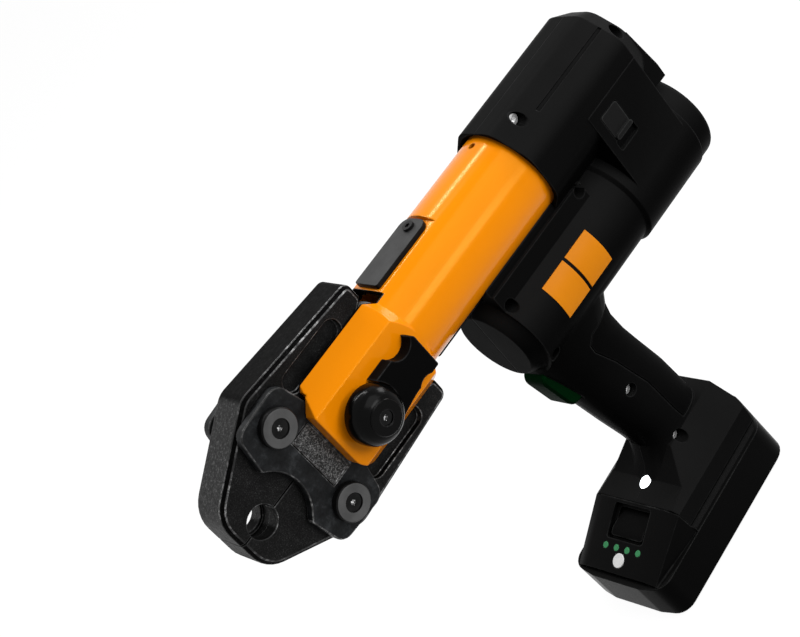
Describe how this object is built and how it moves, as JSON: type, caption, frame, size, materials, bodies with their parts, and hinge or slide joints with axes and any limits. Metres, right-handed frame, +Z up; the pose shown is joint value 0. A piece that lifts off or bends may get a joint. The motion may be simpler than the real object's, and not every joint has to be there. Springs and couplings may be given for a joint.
{
  "type": "cordless press tool",
  "caption": "Cordless hydraulic press tool with a battery foot, pistol handle, yellow cylinder and a pair of press jaws pinned in its fork.",
  "frame": {"origin": "centre of the battery's base", "axes": "+X towards the jaws, +Y to the tool's left, +Z up from the base"},
  "size_m": [0.3644, 0.089, 0.3185],
  "materials": {
    "yellow_paint": "smooth gloss paint",
    "black_steel": "grainy dark forged finish",
    "plate_steel": "fine dark finish",
    "grey_steel": "satin grey",
    "bright_steel": "bright turned",
    "aluminium": "machined",
    "black_plastic": "fine moulded texture",
    "gloss_black": "polished moulding",
    "grip_rubber": "soft matte",
    "seal_rubber": "soft",
    "green_plastic": "satin",
    "yellow_label": "smooth film",
    "white_plastic": "smooth",
    "lamp_lens": "clear lens",
    "light_green": "lit lens",
    "board_green": "solder mask",
    "contact_brass": "plated",
    "copper_winding": "varnished winding",
    "cell_wrap": "shrink sleeve"
  },
  "bodies": {
    "drive_unit": {"jaw_plate_left": "plate_steel", "jaw_plate_right": "plate_steel", "pivot_pins": "bright_steel", "pivot_discs": "grey_steel", "pivot_screws": "plate_steel", "cylinder_fork": "yellow_paint", "guard_strip_top": "grey_steel", "guard_strip_bottom": "grey_steel", "strip_screws": "plate_steel", "return_spring": "bright_steel", "pump_block": "aluminium", "gearbox": "aluminium", "motor_can": "grey_steel", "housing_left": "black_plastic", "housing_right": "black_plastic", "rear_cap": "black_plastic", "soft_grip": "grip_rubber", "housing_screws": "bright_steel", "label_plates": "yellow_label", "trigger_switch": "black_plastic", "circuit_board": "board_green", "light_lens": "lamp_lens", "foot_contacts": "contact_brass"},
    "upper_jaw": {"upper_jaw": "black_steel"},
    "lower_jaw": {"lower_jaw": "black_steel"},
    "ram": {"ram_rod": "bright_steel", "piston": "grey_steel", "piston_seal": "seal_rubber", "roller_carriage": "grey_steel", "roller_pins": "bright_steel"},
    "upper_roller": {"upper_roller": "bright_steel"},
    "lower_roller": {"lower_roller": "bright_steel"},
    "bolt": {"retaining_bolt": "bright_steel", "bolt_knob": "gloss_black", "knob_screw": "plate_steel"},
    "latch": {"bolt_latch": "black_plastic"},
    "trigger": {"trigger": "green_plastic"},
    "reset": {"reset_button": "black_plastic"},
    "rotor": {"motor_rotor": "copper_winding"},
    "eccentric": {"eccentric_shaft": "bright_steel"},
    "battery": {"battery_tray": "black_plastic", "battery_cover": "black_plastic", "battery_cells": "cell_wrap", "battery_terminals": "contact_brass", "battery_screws": "bright_steel", "charge_leds": "light_green"},
    "release": {"release_button": "black_plastic"},
    "check": {"check_button": "white_plastic"}
  },
  "joints": [
    {"name": "ram_slide", "type": "slide", "parent": "drive_unit", "child": "ram", "axis": [0.998, 0, 0.0628], "range_m": [-0.04, 0], "deforming": ["return_spring"]},
    {"name": "upper_jaw_hinge", "type": "hinge", "parent": "drive_unit", "child": "upper_jaw", "pos_m": [0.13587, 0, 0.29772], "axis": [0, 1, 0], "range_deg": [-12, 0]},
    {"name": "lower_jaw_hinge", "type": "hinge", "parent": "drive_unit", "child": "lower_jaw", "pos_m": [0.13981, 0, 0.23524], "axis": [0, 1, 0], "range_deg": [0, 12]},
    {"name": "upper_roller_spin", "type": "hinge", "parent": "ram", "child": "upper_roller", "pos_m": [0.07801, 0, 0.27299], "axis": [0, 1, 0], "continuous": true},
    {"name": "lower_roller_spin", "type": "hinge", "parent": "ram", "child": "lower_roller", "pos_m": [0.0793, 0, 0.25253], "axis": [0, 1, 0], "continuous": true},
    {"name": "bolt_slide", "type": "slide", "parent": "drive_unit", "child": "bolt", "axis": [0, 1, 0], "range_m": [0, 0.047]},
    {"name": "latch_slide", "type": "slide", "parent": "drive_unit", "child": "latch", "axis": [-0.998, 0, -0.0628], "range_m": [0, 0.004], "stiffness_N_per_m": 600},
    {"name": "trigger_pull", "type": "slide", "parent": "drive_unit", "child": "trigger", "axis": [-0.998, 0, -0.0628], "range_m": [0, 0.006], "stiffness_N_per_m": 800},
    {"name": "reset_press", "type": "slide", "parent": "drive_unit", "child": "reset", "axis": [0, -1, 0], "range_m": [0, 0.0025], "stiffness_N_per_m": 1500},
    {"name": "battery_slide", "type": "slide", "parent": "drive_unit", "child": "battery", "axis": [1, 0, 0], "range_m": [0, 0.07]},
    {"name": "release_press", "type": "slide", "parent": "battery", "child": "release", "axis": [-0.3644, 0, -0.9312], "range_m": [0, 0.0025], "stiffness_N_per_m": 1200},
    {"name": "check_press", "type": "slide", "parent": "battery", "child": "check", "axis": [-0.3644, 0, -0.9312], "range_m": [0, 0.001], "stiffness_N_per_m": 1200},
    {"name": "motor_spin", "type": "hinge", "parent": "drive_unit", "child": "rotor", "pos_m": [-0.01226, 0, 0.19492], "axis": [0.998, 0, 0.0628], "continuous": true},
    {"name": "eccentric_spin", "type": "hinge", "parent": "drive_unit", "child": "eccentric", "pos_m": [-0.13203, 0, 0.18738], "axis": [0.998, 0, 0.0628], "continuous": true}
  ],
  "couplings": [
    {"joint": "upper_jaw_hinge", "follows": "ram_slide", "rad_per_m": 5.236},
    {"joint": "lower_jaw_hinge", "follows": "ram_slide", "rad_per_m": -5.236},
    {"joint": "eccentric_spin", "follows": "motor_spin", "ratio": 0.083333}
  ]
}
